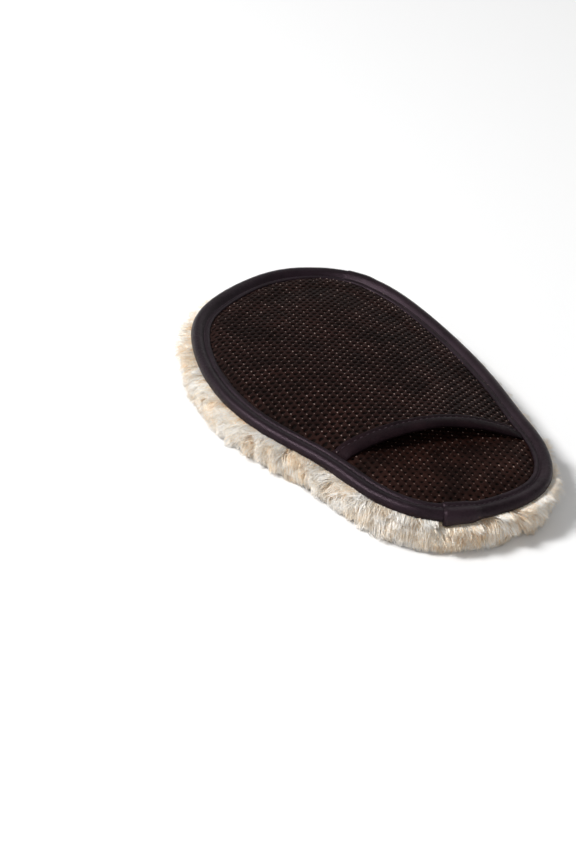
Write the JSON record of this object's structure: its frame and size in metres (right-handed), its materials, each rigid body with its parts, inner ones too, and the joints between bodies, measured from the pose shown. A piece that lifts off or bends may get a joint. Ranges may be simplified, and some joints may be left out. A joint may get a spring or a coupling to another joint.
{
  "type": "wash mitt",
  "caption": "Sole-shaped wash mitt: deep cream pile on one side, a domed mesh hand pocket with an arched mouth on the other, bound round the edge.",
  "frame": {"origin": "centre of the mitt's outline on the surface that the pile rests on", "axes": "+Y from the cuff to the finger end, +X to the right as seen from the mesh side, +Z from the pile to the mesh"},
  "size_m": [0.1602, 0.253, 0.0332],
  "materials": {
    "wool": "long soft cream pile with tan roots",
    "knit": "cream knitted backing",
    "sponge": "thin open sponge",
    "palm_mesh": "dark brown spacer mesh, fine cells",
    "back_mesh": "dark brown spacer mesh, open staggered cells",
    "tape": "satin dark purple-brown binding tape",
    "thread": "dark sewing thread"
  },
  "bodies": {
    "mitt": {"wool_pile": "wool", "pile_backing": "knit", "sponge_pad": "sponge", "palm_mesh": "palm_mesh", "edge_binding_left": "tape", "edge_binding_right": "tape", "edge_thread": "thread", "edge_bobbin_thread": "thread"},
    "cover": {"back_mesh": "back_mesh", "mouth_binding": "tape", "mouth_thread": "thread", "mouth_bobbin_thread": "thread"}
  },
  "joints": [
    {"name": "pocket_lift", "type": "hinge", "parent": "mitt", "child": "cover", "pos_m": [0, 0.11027, 0.0205], "axis": [-1, 0, 0], "range_deg": [0, 8]}
  ]
}
